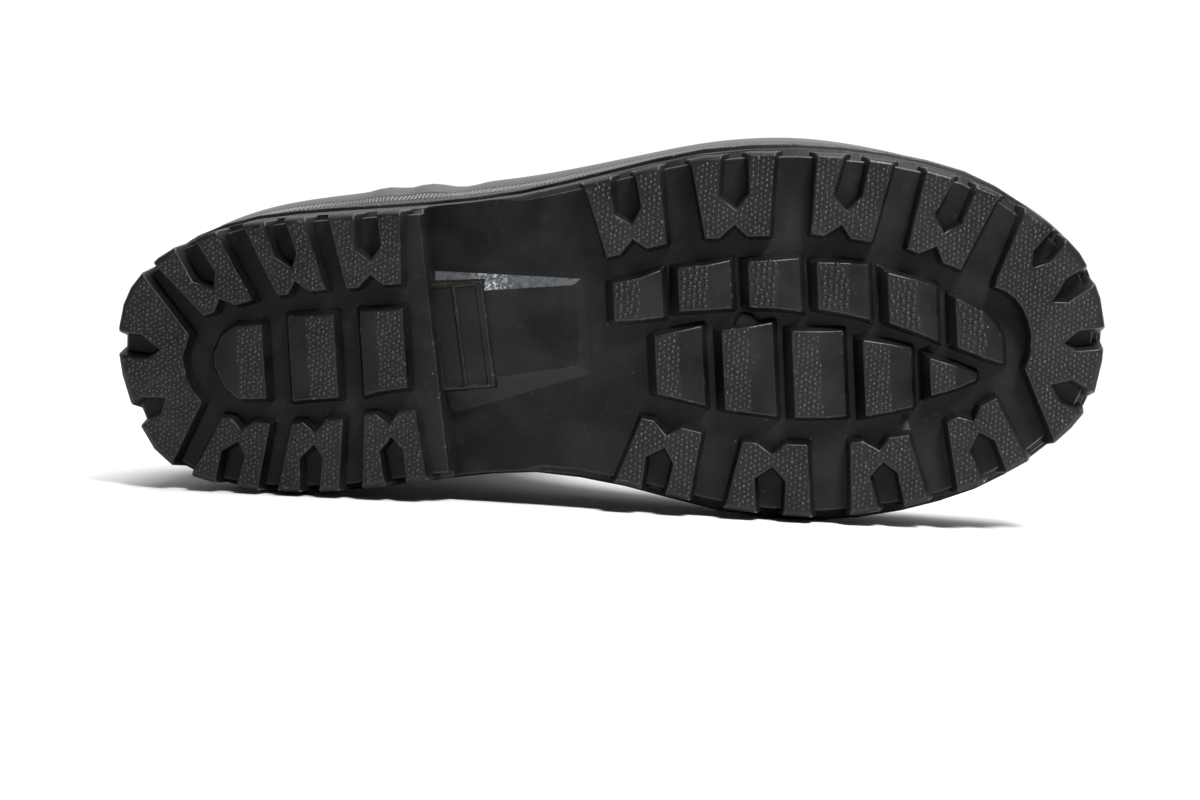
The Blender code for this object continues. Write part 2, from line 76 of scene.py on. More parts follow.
def rubber(name, look, relief=None):
    material, tree, shader = newMaterial(name)
    place = addNode(tree, "ShaderNodeTexCoord").outputs["Object"]
    patches = addNode(tree, "ShaderNodeTexNoise", None, {
        "Vector": place, "Scale": 1000.0 / look["patch"], "Detail": 5.0,
    })
    dust = addNode(tree, "ShaderNodeTexNoise", None, {
        "Vector": place, "Scale": 1000.0 / look["dust"], "Detail": 4.0, "Roughness": 0.65,
    })
    cells = addNode(tree, "ShaderNodeTexVoronoi", None, {"Vector": place, "Scale": 1000.0 / look["fleckGap"]})
    patchShare = addNode(tree, "ShaderNodeMapRange", None, {"Value": patches, "From Min": 0.35, "From Max": 0.65})
    dustShare = addNode(tree, "ShaderNodeMapRange", None, {
        "Value": dust, "From Min": 0.6, "From Max": 0.8, "To Min": 0.0, "To Max": look["dusting"],
    })
    fleckShare = addNode(tree, "ShaderNodeMapRange", None, {
        "Value": cells, "From Min": 0.015, "From Max": 0.035, "To Min": look["flecks"], "To Max": 0.0,
    })
    plain = addNode(tree, "ShaderNodeMixRGB", None, {
        "Fac": patchShare, "Color1": linear(look["dark"]), "Color2": linear(look["light"]),
    })
    dusty = addNode(tree, "ShaderNodeMixRGB", None, {
        "Fac": dustShare, "Color1": plain, "Color2": linear(look["bloom"]),
    })
    colour = addNode(tree, "ShaderNodeMixRGB", None, {
        "Fac": fleckShare, "Color1": dusty, "Color2": linear(look["fleck"]),
    })
    if relief:
        raised = relief(tree)
        strokes = raised.inputs["Height"].links[0].from_socket
        # ridge tops painted paler: partly wear, partly a painted highlight on the knurl
        tips = addNode(tree, "ShaderNodeMath", {"operation": "POWER"}, {0: strokes, 1: 3.0})  # narrow ridge tops
        tipWearAndHighlight = addNode(tree, "ShaderNodeMath", {"operation": "MULTIPLY"}, {0: tips, 1: look["strokeWearAndHighlight"]})
        colour = addNode(tree, "ShaderNodeMixRGB", None, {
            "Fac": tipWearAndHighlight, "Color1": colour, "Color2": linear(look["strokePale"]),
        })
    tree.links.new(colour.outputs[0], shader.inputs["Base Color"])
    smoother = addNode(tree, "ShaderNodeMapRange", None, {
        "Value": patches, "From Min": 0.3, "From Max": 0.7, "To Min": look["rough"][0], "To Max": look["rough"][1],
    })
    matter = addNode(tree, "ShaderNodeMapRange", None, {
        "Value": dust, "From Min": 0.5, "From Max": 0.8, "To Min": 0.0, "To Max": 0.1,
    })
    rough = addNode(tree, "ShaderNodeMath", {"operation": "ADD"}, {0: smoother, 1: matter})
    tree.links.new(rough.outputs[0], shader.inputs["Roughness"])
    ripple = addNode(tree, "ShaderNodeTexNoise", None, {
        "Vector": place, "Scale": 1000.0 / look["ripple"], "Detail": 1.0,
    })
    waves = addNode(tree, "ShaderNodeBump", None, {"Height": ripple, "Distance": look["rippleDepth"] * 0.001})
    if relief:
        tree.links.new(raised.outputs[0], waves.inputs["Normal"])
    grain = addNode(tree, "ShaderNodeTexNoise", None, {"Vector": place, "Scale": 1000.0 / look["grain"], "Detail": 2.0})
    skin = addNode(tree, "ShaderNodeBump", None, {
        "Height": grain, "Distance": look["grainDepth"] * 0.001, "Normal": waves,
    })
    tree.links.new(skin.outputs[0], shader.inputs["Normal"])
    shader.inputs["Specular IOR Level"].default_value = look["gloss"]
    return material


def bootCopy(node):
    mesh = bmesh.new()
    mesh.from_mesh(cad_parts[node].data)
    bmesh.ops.remove_doubles(mesh, verts=mesh.verts, dist=0.00001)
    bmesh.ops.transform(mesh, matrix=toBoot, verts=mesh.verts)
    return mesh


def addPiece(name, mesh, materials, node=None):
    data = bpy.data.meshes.new(name)
    mesh.to_mesh(data)
    mesh.free()
    data.transform(toWorld)
    piece = bpy.data.objects.new(name, data)
    bpy.context.scene.collection.objects.link(piece)
    for material in materials:
        data.materials.append(material)
    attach(piece, "root")
    if node:
        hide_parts(node)
    return piece


def smoothed(mesh, levels):
    data = bpy.data.meshes.new("smoothing")
    mesh.to_mesh(data)
    mesh.free()
    helper = bpy.data.objects.new("smoothing", data)
    bpy.context.scene.collection.objects.link(helper)
    finer = helper.modifiers.new("finer", "SUBSURF")
    finer.levels = levels
    finer.render_levels = levels
    shaped = bmesh.new()
    shaped.from_object(helper, bpy.context.evaluated_depsgraph_get())
    bpy.data.objects.remove(helper)
    bpy.data.meshes.remove(data)
    return shaped


creaseAngle = 28.0  # degrees; steeper edges are rims and steps


def toQuads(mesh, crisp):
    bmesh.ops.join_triangles(
        mesh, faces=mesh.faces, angle_face_threshold=math.pi, angle_shape_threshold=math.pi,
    )
    hold = mesh.edges.layers.float.new("crease_edge")
    for edge in mesh.edges:
        if edge.calc_face_angle(0.0) > math.radians(creaseAngle):
            edge[hold] = crisp  # keeps the collar step and the rims crisp under the smoothing


# Sizes of the last that the solids were made with, in mm from the heel and above the ground
lastFacts = {
    "springStart": 190.0, "springRadius": 520.0, "footMiddle": 147.0, "shaftMiddle": 62.0,
    "heelSeat": 31.0, "seatFall": 13.0, "fallStart": 85.0, "fallRun": 100.0,
}


def spring(x):
    return max(0.0, x - lastFacts["springStart"]) ** 2 / (2.0 * lastFacts["springRadius"])  # toe spring of the sole


def treadFacing(x):
    return Vector((max(0.0, x - lastFacts["springStart"]) / lastFacts["springRadius"], 0.0, -1.0)).normalized()


def seat(x):
    share = min(1.0, max(0.0, (x - lastFacts["fallStart"]) / lastFacts["fallRun"]))
    fall = lastFacts["seatFall"] * share * share * (3.0 - 2.0 * share)
    return lastFacts["heelSeat"] - fall + spring(x)  # top of the sole above the ground


# Moulded natural rubber: matt black with a grey bloom in its grain, so it never reads as flat black
# The real grain is about a tenth of a millimetre, drawn coarser here so that it shows
# The groove floors and walls keep these darker tones as painted shade in the recesses
soleLook = {
    "dark": "#050505", "light": "#1a1a18", "bloom": "#3a3a36", "dusting": 0.4,
    "fleck": "#8a8983", "flecks": 0.7, "fleckGap": 8.0,
    "patch": 17.0, "dust": 2.2, "grain": 0.7, "grainDepth": 0.09, "ripple": 5.0, "rippleDepth": 0.12,
    "rough": (0.42, 0.56), "gloss": 0.16,
}
soleRubber = rubber("moulded_sole_rubber", soleLook)

# Rubbed rubber: the same rubber polished along its rims, so an edge turned to the light shows a thin bright line; its
# pale dusting on every rim is partly wear and partly a painted highlight
edgeWearAndHighlightLook = dict(soleLook, bloom="#6e6e69", dusting=0.7, rough=(0.32, 0.4), gloss=0.3)
edgeWearAndHighlightRubber = rubber("rubbed_and_highlit_edge_rubber", edgeWearAndHighlightLook)

# Worn rubber: lug tops a little greyer than the grooves, partly scuffs where the boot meets the ground and partly
# painted shade, as the groove floors and walls keep the darker rubber
wornUnshadedLook = dict(soleLook, dark="#141413", light="#1d1d1c", dusting=0.5)
wornUnshadedRubber = rubber("worn_unshaded_tread_rubber", wornUnshadedLook)

# Dusty rubber: the outer flank of the shank cover in blue-grey, partly grey moulding powder and partly a painted sheen
# where the flank faces the overhead light, with pale scuffs beside the plate
dustAndSheenLook = {
    "dark": "#25282b", "light": "#505458", "scuff": "#aab0b3", "cloud": 1.7, "speck": 1.0, "speckDepth": 0.04,
    "middle": (112.5, -17.6, 11.4), "reach": (1.0, 8.0), "rough": 0.7, "gloss": 0.25,
}


def powderedWithSheen(name, look):
    material, tree, shader = newMaterial(name)
    place = addNode(tree, "ShaderNodeTexCoord").outputs["Object"]
    cloud = addNode(tree, "ShaderNodeTexNoise", None, {
        "Vector": place, "Scale": 1000.0 / look["cloud"], "Detail": 4.0, "Roughness": 0.6,
    })
    speck = addNode(tree, "ShaderNodeTexNoise", None, {
        "Vector": place, "Scale": 1000.0 / look["speck"], "Detail": 3.0, "Roughness": 0.7,
    })
    cloudShare = addNode(tree, "ShaderNodeMapRange", None, {"Value": cloud, "From Min": 0.3, "From Max": 0.7})
    # blue-grey tone: partly powder, partly a painted sheen
    powderAndSheen = addNode(tree, "ShaderNodeMixRGB", None, {
        "Fac": cloudShare, "Color1": linear(look["dark"]), "Color2": linear(look["light"]),
    })
    away = addNode(tree, "ShaderNodeVectorMath", {"operation": "DISTANCE"}, {
        0: place, 1: toWorld @ Vector(look["middle"]),
    }).outputs["Value"]
    near = addNode(tree, "ShaderNodeMapRange", None, {
        "Value": away, "From Min": look["reach"][0] * 0.001, "From Max": look["reach"][1] * 0.001,
        "To Min": 1.0, "To Max": 0.05,
    })
    speckShare = addNode(tree, "ShaderNodeMapRange", None, {"Value": speck, "From Min": 0.5, "From Max": 0.62})
    scuffShare = addNode(tree, "ShaderNodeMath", {"operation": "MULTIPLY"}, {0: near, 1: speckShare})
    scuffed = addNode(tree, "ShaderNodeMixRGB", None, {
        "Fac": scuffShare, "Color1": powderAndSheen, "Color2": linear(look["scuff"]),
    })
    tree.links.new(scuffed.outputs[0], shader.inputs["Base Color"])
    crumbs = addNode(tree, "ShaderNodeBump", None, {"Height": speck, "Distance": look["speckDepth"] * 0.001})
    tree.links.new(crumbs.outputs[0], shader.inputs["Normal"])
    shader.inputs["Roughness"].default_value = look["rough"]
    shader.inputs["Specular IOR Level"].default_value = look["gloss"]
    return material


dustAndSheenRubber = powderedWithSheen("dust_and_sheen_sole_rubber", dustAndSheenLook)

# The same rubber painted a lighter grey on the inner flank of the cover, a painted reflection of the white floor that
# this flank faces
floorSheenLook = dict(soleLook, dark="#1c1c1a", light="#242422", dusting=0.5, flecks=0.2)
floorSheenRubber = rubber("floor_sheen_sole_rubber", floorSheenLook)

outsoleFacts = {
    "edgeRound": 0.5, "sharp": 32.0, "flat": 0.3, "tiny": 0.45, "roundedShade": 48.0, "plainShade": 12.0, "lugTop": 0.6,
    "outerFlank": ((96.5, -23.5), (142.0, -15.0)), "innerFlank": ((97.5, 7.5), (142.8, 24.0)),
}
sole = bootCopy("outsole")
flatLimit = math.radians(outsoleFacts["flat"])
bmesh.ops.dissolve_limit(sole, angle_limit=flatLimit, verts=sole.verts, edges=sole.edges)
bmesh.ops.dissolve_degenerate(sole, edges=sole.edges, dist=outsoleFacts["tiny"])  # edges shorter than the rounding


def sharpEdges(mesh):
    limit = math.radians(outsoleFacts["sharp"])
    return [e for e in mesh.edges if e.is_manifold and e.is_convex and e.calc_face_angle() > limit]


def roundEdges(mesh, edges, reach, segments):
    return bmesh.ops.bevel(
        mesh, geom=edges, offset=reach, offset_type="OFFSET", affect="EDGES",
        segments=segments, profile=0.5, material=-1, clamp_overlap=False,
    )["faces"]


def onFlank(face, flank, side):
    (lowX, lowY), (highX, highY) = outsoleFacts[flank]
    middle = face.calc_center_median()
    facing = face.normal.y * side > 0.25 and face.normal.z < -0.3
    return facing and lowX < middle.x < highX and lowY < middle.y < highY


def isLugTop(face):
    middle = face.calc_center_median()
    level = middle.z - spring(middle.x) < outsoleFacts["lugTop"]
    return level and face.normal.dot(treadFacing(middle.x)) > 0.97


rounded = set(roundEdges(sole, sharpEdges(sole), outsoleFacts["edgeRound"], 2))
for face in sole.faces:
    face.smooth = True
    if face in rounded:
        face.material_index = 1
    elif onFlank(face, "outerFlank", -1.0):
        face.material_index = 2
    elif onFlank(face, "innerFlank", 1.0):
        face.material_index = 3
    elif isLugTop(face):
        face.material_index = 4
for edge in sole.edges:
    shade = "roundedShade" if any(face in rounded for face in edge.link_faces) else "plainShade"
    edge.smooth = edge.calc_face_angle(0.0) < math.radians(outsoleFacts[shade])
bmesh.ops.triangulate(sole, faces=[f for f in sole.faces if len(f.verts) > 4])
openEdges = sum(not e.is_manifold for e in sole.edges)
soleTree = BVHTree.FromBMesh(sole)
soleFinishes = [soleRubber, edgeWearAndHighlightRubber, dustAndSheenRubber, floorSheenRubber, wornUnshadedRubber]
outsole = addPiece("moulded_outsole", sole, soleFinishes, "outsole")
flatter = outsole.modifiers.new("flat_tops", "WEIGHTED_NORMAL")
flatter.keep_sharp = True
print("outsole", len(outsole.data.polygons), "open edges", openEdges)

# Pebbled rubber: low round grains moulded on every lug top, each with its own small highlight
# Sizes in mm, jitter as a share of the spacing, margin from the rim of a lug
pebbleFacts = (
    {
        "name": "heel_pebbles", "run": (-10.0, 140.0), "spacing": 1.46, "radius": 0.37, "height": 0.12,
        "jitter": 0.2, "margin": 0.48, "seed": 7,
    },
    {
        "name": "ball_pebbles", "run": (140.0, 222.0), "spacing": 1.56, "radius": 0.45, "height": 0.24,
        "jitter": 0.15, "margin": 0.48, "seed": 8,
    },
    {
        "name": "toe_pebbles", "run": (222.0, 310.0), "spacing": 1.5, "radius": 0.42, "height": 0.22,
        "jitter": 0.15, "margin": 0.48, "seed": 9,
    },
    {
        "name": "outer_row_pebbles", "run": (140.0, 268.0), "spacing": 1.9, "radius": 0.93, "height": 0.5,
        "jitter": 0.17, "margin": 0.48, "seed": 10,
    },
)
grainFacts = {
    "turn": -24.0, "sizes": (0.72, 1.12), "stretch": 1.1, "sides": 8, "field": 110.0, "rowGap": 0.87,
    "below": -20.0, "deepest": 4.0, "level": 0.12,
}
outerRow = np.array((
    (146.0, -20.0, -4.0), (165.0, -22.0, -4.2), (205.0, -24.0, -3.8), (225.0, -20.5, 0.5), (240.0, -14.5, 6.0),
    (250.0, -10.0, 10.4), (259.0, -4.0, 13.6), (264.0, 3.0, 14.0), (266.0, 14.0, 14.0),
))  # outer row of blocks, where the grains are wider: x, outer y, inner y
pebbleLook = dict(wornUnshadedLook, rough=(0.2, 0.26), dusting=0.2, gloss=0.5)
pebbleRubber = rubber("pebbled_sole_rubber", pebbleLook)
softPebbleLook = dict(wornUnshadedLook, rough=(0.42, 0.5), gloss=0.25)  # wider grains catch a softer light
softPebbleRubber = rubber("worn_unshaded_pebbled_rubber", softPebbleLook)


def inOuterRow(x, y):
    low, high = (np.interp(x, outerRow[:, 0], outerRow[:, side]) for side in (1, 2))
    return x > outerRow[0, 0] and low < y < high


def onLugTop(x, y, reach):
    up = Vector((0.0, 0.0, 1.0))
    spot, normal, _, _ = soleTree.ray_cast(Vector((x, y, grainFacts["below"])), up)
    tread = treadFacing(x)
    if spot is None or spot.z - spring(x) > grainFacts["deepest"] or normal.dot(tread) < 0.985:
        return None, None
    for k in range(6):
        turn = k * math.pi / 3.0
        beside = Vector((x + reach * math.cos(turn), y + reach * math.sin(turn), grainFacts["below"]))
        rim, _, _, _ = soleTree.ray_cast(beside, up)
        if rim is None or abs((rim - spot).dot(tread)) > grainFacts["level"]:
            return None, None
    return spot, normal


def pebblePlaces(facts):
    dice = np.random.RandomState(facts["seed"])
    places = []
    gap = facts["spacing"]
    low, high = facts["run"]
    lean = math.radians(grainFacts["turn"])
    half = int(grainFacts["field"] / gap)
    for row in range(-half, half):
        for column in range(-half, half):
            wobble = dice.uniform(-1.0, 1.0, 2) * facts["jitter"]
            size = dice.uniform(*grainFacts["sizes"])
            u = gap * (column + 0.5 * (row % 2) + wobble[0])
            v = gap * (grainFacts["rowGap"] * row + wobble[1])
            x = 0.5 * (low + high) + u * math.cos(lean) - v * math.sin(lean)
            y = u * math.sin(lean) + v * math.cos(lean)
            if not low < x < high or inOuterRow(x, y) != (facts["name"] == "outer_row_pebbles"):
                continue
            spot, normal = onLugTop(x, y, facts["margin"])
            if spot is not None:
                places.append((spot, normal, size))
    return places


def domeShape(sides):
    dome = bmesh.new()
    bmesh.ops.create_uvsphere(dome, u_segments=sides, v_segments=12, radius=1.0)
    bmesh.ops.bisect_plane(
        dome, geom=dome.verts[:] + dome.edges[:] + dome.faces[:], dist=0.0001,
        plane_co=(0, 0, 0.7), plane_no=(0, 0, -1), clear_outer=True,
    )
    bmesh.ops.translate(dome, vec=(0, 0, -0.72), verts=dome.verts)
    bmesh.ops.scale(dome, vec=(1.4, 1.4, 3.57), verts=dome.verts)  # low cap, one high and one in radius
    dome.verts.ensure_lookup_table()
    dome.verts.index_update()
    points = np.array([v.co for v in dome.verts])
    faces = [[v.index for v in f.verts] for f in dome.faces]
    dome.free()
    return points, faces


def pebbleMesh(places, facts):
    points, faces = domeShape(grainFacts["sides"])
    normals = np.array([n for _, n, _ in places])
    across = np.cross(normals, (0.0, 1.0, 0.0))
    across /= np.linalg.norm(across, axis=1)[:, None]
    along = np.cross(normals, across) * grainFacts["stretch"]  # a little longer across the sole
    sizes = np.array([s for _, _, s in places])[:, None, None]
    flat = points[None, :, 0, None] * across[:, None] + points[None, :, 1, None] * along[:, None]
    shapes = flat * facts["radius"] + points[None, :, 2, None] * normals[:, None] * facts["height"]
    spots = np.array([p for p, _, _ in places])[:, None] + shapes * sizes
    count = len(points)
    data = bpy.data.meshes.new("pebbles")
    allFaces = [[i + k * count for i in face] for k in range(len(places)) for face in faces]
    data.from_pydata(spots.reshape(-1, 3), [], allFaces)
    grains = bmesh.new()
    grains.from_mesh(data)
    bpy.data.meshes.remove(data)
    for face in grains.faces:
        face.smooth = True
    return grains


for facts in pebbleFacts:
    places = pebblePlaces(facts)
    finish = softPebbleRubber if facts["name"] == "outer_row_pebbles" else pebbleRubber
    grains = addPiece(facts["name"], pebbleMesh(places, facts), [finish])
    print(facts["name"], len(places), len(grains.data.polygons))

# Round mark left by the mould's gate, half sunk in the groove between the two rows of blocks
gateFacts = {"middle": (188.5, -2.0, 4.7), "radius": 3.3, "flare": 0.3, "depth": 3.4, "round": 0.8, "sides": 28}
gateMesh = bmesh.new()
bmesh.ops.create_cone(
    gateMesh, cap_ends=True, segments=gateFacts["sides"], depth=gateFacts["depth"],
    radius1=gateFacts["radius"], radius2=gateFacts["radius"] + gateFacts["flare"],
    matrix=Matrix.Translation(gateFacts["middle"]),
)
gateRim = [e for e in gateMesh.edges if all(v.co.z < gateFacts["middle"][2] for v in e.verts)]
roundEdges(gateMesh, gateRim, gateFacts["round"], 3)
for face in gateMesh.faces:
    face.smooth = len(face.verts) < 8
gate = addPiece("gate_mark", gateMesh, [soleRubber])
print("gate mark", len(gate.data.polygons))

# Semi-gloss calendered rubber: the upper's soft black skin, even and a little shinier than the sole
upperLook = {
    "dark": "#1b1b1c", "light": "#242425", "bloom": "#464648", "dusting": 0.35,
    "fleck": "#8a8983", "flecks": 0.35, "fleckGap": 9.0,
    "patch": 48.0, "dust": 3.5, "grain": 0.6, "grainDepth": 0.03, "ripple": 12.0, "rippleDepth": 0.22,
    "rough": (0.33, 0.44), "gloss": 0.6, "strokeWearAndHighlight": 0.6, "strokePale": "#626361",
}

# Knurled rubber: satin strip around the foot with fine slanting strokes, painted pale on their tops, partly wear and
# partly a painted highlight on the ridges
# The upper repeats them just above the strip, and both are drawn a little coarser so that they show
randLook = dict(upperLook, dark="#191919", light="#212122", rough=(0.42, 0.5), gloss=0.5)
knurlFacts = {"stroke": 0.7, "turn": 2.6, "depth": 0.4, "strip": (1.6, 8.0), "band": (10.2, 17.0), "fade": 0.6}


def knurl(tree, reach, under=None):
    strip = addNode(tree, "ShaderNodeUVMap", {"uv_map": "strip"})
    split = addNode(tree, "ShaderNodeSeparateXYZ", None, {"Vector": strip})
    along = addNode(tree, "ShaderNodeMath", {"operation": "MULTIPLY"}, {0: split.outputs["X"], 1: 1000.0})
    rise = addNode(tree, "ShaderNodeMath", {"operation": "MULTIPLY"}, {0: split.outputs["Y"], 1: 1000.0})
    lean = addNode(tree, "ShaderNodeMath", {"operation": "PINGPONG"}, {0: rise, 1: knurlFacts["turn"]})
    slant = addNode(tree, "ShaderNodeMath", {"operation": "ADD"}, {0: along, 1: lean})
    stroke = addNode(tree, "ShaderNodeMath", {"operation": "PINGPONG"}, {0: slant, 1: knurlFacts["stroke"]})
    ridge = addNode(tree, "ShaderNodeMath", {"operation": "DIVIDE"}, {0: stroke, 1: knurlFacts["stroke"]})
    low, high = reach
    above = addNode(tree, "ShaderNodeMapRange", None, {
        "Value": rise, "From Min": low, "From Max": low + knurlFacts["fade"],
    })
    below = addNode(tree, "ShaderNodeMapRange", None, {
        "Value": rise, "From Min": high, "From Max": high - knurlFacts["fade"],
    })
    band = addNode(tree, "ShaderNodeMath", {"operation": "MULTIPLY"}, {0: above, 1: below})
    height = addNode(tree, "ShaderNodeMath", {"operation": "MULTIPLY"}, {0: ridge, 1: band})
    raised = addNode(tree, "ShaderNodeBump", None, {"Height": height, "Distance": knurlFacts["depth"] * 0.001})
    if under:
        tree.links.new(under.outputs[0], raised.inputs["Normal"])
    return raised


randRubber = rubber("knurled_rand_rubber", randLook, lambda tree: knurl(tree, knurlFacts["strip"]))
randFacts = {"crisp": 0.6, "levels": 2, "turns": 121, "slice": 0.06}
randMesh = bootCopy("rand")
toQuads(randMesh, randFacts["crisp"])
randMesh = smoothed(randMesh, randFacts["levels"])
randPoints = np.array([v.co for v in randMesh.verts])
randTurns = np.arctan2(randPoints[:, 1], randPoints[:, 0] - lastFacts["footMiddle"])
randReach = np.hypot(randPoints[:, 1], randPoints[:, 0] - lastFacts["footMiddle"])
steps = np.linspace(-math.pi, math.pi, randFacts["turns"])
outer = np.array([randReach[np.abs(randTurns - step) < randFacts["slice"]].max() for step in steps])
strides = np.hypot(np.diff(outer * np.cos(steps)), np.diff(outer * np.sin(steps)))
lengths = np.append(0.0, np.cumsum(strides))  # mm along the foot's outline


def stripMap(mesh, faces):
    strip = mesh.loops.layers.uv.new("strip")  # metres along the outline and up from the seat
    for face in faces:
        around = [math.atan2(loop.vert.co.y, loop.vert.co.x - lastFacts["footMiddle"]) for loop in face.loops]
        for loop, turn in zip(face.loops, around):
            wrapped = max(around) - min(around) > math.pi and turn < 0.0
            place = float(np.interp(turn, steps, lengths)) + (float(lengths[-1]) if wrapped else 0.0)
            loop[strip].uv = (place * 0.001, (loop.vert.co.z - seat(loop.vert.co.x)) * 0.001)


stripMap(randMesh, randMesh.faces)
for face in randMesh.faces:
    face.smooth = True
rand = addPiece("knurled_rand", randMesh, [randRubber], "rand")
print("rand", len(rand.data.polygons))


def upperRelief(tree):
    away = addNode(tree, "ShaderNodeAttribute", {"attribute_name": "seam"}).outputs["Fac"]
    side = addNode(tree, "ShaderNodeMath", {"operation": "ABSOLUTE"}, {0: away})
    line = addNode(tree, "ShaderNodeMapRange", None, {"Value": side, "From Min": 0.7, "From Max": 0.25})
    flash = addNode(tree, "ShaderNodeBump", None, {"Height": line, "Distance": 0.0003})  # parting line of the mould
    return knurl(tree, knurlFacts["band"], flash)


upperRubber = rubber("semi_gloss_upper_rubber", upperLook, upperRelief)

# Knitted cotton lining: plain stockinette bonded inside, grey loops in columns with a soft worn nap
# Its loops are about a millimetre on the real one, drawn coarser here so that they show
liningLook = {
    "wale": 1.5, "course": 1.2, "loopDepth": 0.35, "fuzz": 0.5, "fuzzDepth": 0.12, "wear": 28.0,
    "dark": "#4a4946", "light": "#8b8983", "soil": "#66635d", "rough": 0.9, "sheen": 0.3,
}


def knit(name, look):
    material, tree, shader = newMaterial(name)
    weave = addNode(tree, "ShaderNodeUVMap", {"uv_map": "weave"})
    split = addNode(tree, "ShaderNodeSeparateXYZ", None, {"Vector": weave})
    wales = addNode(tree, "ShaderNodeMath", {"operation": "MULTIPLY"}, {
        0: split.outputs["X"], 1: 1000.0 / look["wale"],
    })
    courses = addNode(tree, "ShaderNodeMath", {"operation": "MULTIPLY"}, {
        0: split.outputs["Y"], 1: 1000.0 / look["course"],
    })
    vee = addNode(tree, "ShaderNodeMath", {"operation": "PINGPONG"}, {0: wales, 1: 0.5})
    leaning = addNode(tree, "ShaderNodeMath", {"operation": "ADD"}, {0: courses, 1: vee})
    loop = addNode(tree, "ShaderNodeMath", {"operation": "PINGPONG"}, {0: leaning, 1: 0.5})
    whole = addNode(tree, "ShaderNodeMath", {"operation": "MULTIPLY"}, {0: loop, 1: 2.0})
    plump = addNode(tree, "ShaderNodeMath", {"operation": "POWER"}, {0: whole, 1: 0.6})
    column = addNode(tree, "ShaderNodeMapRange", None, {"Value": vee, "From Min": 0.0, "From Max": 0.12})
    height = addNode(tree, "ShaderNodeMath", {"operation": "MULTIPLY"}, {0: plump, 1: column})
    place = addNode(tree, "ShaderNodeTexCoord").outputs["Object"]
    fuzz = addNode(tree, "ShaderNodeTexNoise", None, {"Vector": place, "Scale": 1000.0 / look["fuzz"], "Detail": 3.0})
    wear = addNode(tree, "ShaderNodeTexNoise", None, {"Vector": place, "Scale": 1000.0 / look["wear"], "Detail": 2.0})
    # loops painted lighter on their tops and darker in the gaps between them: painted shade
    threadAndGapShade = addNode(tree, "ShaderNodeMixRGB", None, {
        "Fac": height, "Color1": linear(look["dark"]), "Color2": linear(look["light"]),
    })
    wearShare = addNode(tree, "ShaderNodeMapRange", None, {
        "Value": wear, "From Min": 0.45, "From Max": 0.75, "To Min": 0.0, "To Max": 0.35,
    })
    soiled = addNode(tree, "ShaderNodeMixRGB", None, {
        "Fac": wearShare, "Color1": threadAndGapShade, "Color2": linear(look["soil"]),
    })
    tree.links.new(soiled.outputs[0], shader.inputs["Base Color"])
    loops = addNode(tree, "ShaderNodeBump", None, {"Height": height, "Distance": look["loopDepth"] * 0.001})
    nap = addNode(tree, "ShaderNodeBump", None, {
        "Height": fuzz, "Distance": look["fuzzDepth"] * 0.001, "Normal": loops,
    })
    tree.links.new(nap.outputs[0], shader.inputs["Normal"])
    shader.inputs["Roughness"].default_value = look["rough"]
    shader.inputs["Sheen Weight"].default_value = look["sheen"]
    return material


liningCloth = knit("knitted_lining", liningLook)
centreLine = [Vector(p) for p in (
    (62, 4, 390), (62, 0, 200), (64, 0, 130), (95, 0, 85), (150, 0, 58), (215, 1, 46), (262, 3, 42),
)]  # middle of the inside, from the collar to the toe


def centreOf(point):
    best = None
    for start, end in zip(centreLine, centreLine[1:]):
        run = end - start
        share = min(1.0, max(0.0, (point - start).dot(run) / run.length_squared))
        nearest = start + run * share
        if best is None or (point - nearest).length < (point - best).length:
            best = nearest
    return best


def hump(value, middle, half):
    share = abs(value - middle) / half
    return 0.5 + 0.5 * math.cos(math.pi * share) if share < 1.0 else 0.0


# Folds where the ankle bends, and the bulges over the rand that the photo's outline shows
shaftAxis = 66.0
# height on the shaft's axis, rise per mm towards the toe, middle and half-span in degrees, half-width, depth
folds = (
    (98.0, 0.54, -10.0, 128.0, 8.5, -2.0),
    (109.0, 0.52, 6.0, 104.0, 7.5, 1.1),
    (120.0, 0.46, 12.0, 138.0, 8.5, -2.1),
    (131.0, 0.42, -8.0, 96.0, 7.0, 1.0),
    (142.0, 0.34, -20.0, 118.0, 8.5, -1.5),
    (166.0, 0.22, 18.0, 96.0, 10.0, -0.9),
    (136.0, -0.16, 174.0, 112.0, 8.5, -1.7),
    (147.0, -0.12, 186.0, 92.0, 7.0, 0.9),
    (158.0, -0.06, 166.0, 116.0, 8.5, -1.5),
    (182.0, 0.04, 190.0, 84.0, 11.0, -0.8),
    (224.0, 0.10, 96.0, 74.0, 17.0, -0.9),
    (264.0, -0.12, -84.0, 80.0, 19.0, -1.0),
)
# from the heel, above the ground, half-height, half-width, depth
bulges = ((75.5, 56.0, 16.0, 8.5, 1.0), (89.0, 56.0, 16.0, 8.5, 1.0), (101.0, 58.0, 18.0, 9.0, -0.9))
bulgeSide = -20.0  # they are on the outer side of the foot


def creaseShift(point):
    shift = 0.0
    side = math.degrees(math.atan2(point.y, point.x - shaftAxis))  # 0 at the front of the shaft, 180 at its back
    for height, rise, middle, span, half, depth in folds:
        turn = (side - middle + 180.0) % 360.0 - 180.0
        shift += depth * hump(turn, 0.0, span) * hump(point.z, height + rise * (point.x - shaftAxis), half)
    if point.y < bulgeSide:
        for x, z, across, half, height in bulges:
            shift += height * hump(point.x, x, half) * hump(point.z, z, across)
    return shift


upperFacts = {
    "crisp": 0.75, "levels": 2, "ankle": (88.0, 205.0), "steep": 0.35, "foldsFrom": 40.0,
    "seamLean": 6.0, "seamStart": 173.0, "seamRun": 208.0, "weaveRadius": 55.0,
}


def isAnkleRise(edge):
    low, high = sorted((v.co for v in edge.verts), key=lambda co: co.z)
    lowest, highest = upperFacts["ankle"]
    return lowest < low.z and high.z < highest and (high.z - low.z) > upperFacts["steep"] * (high - low).length


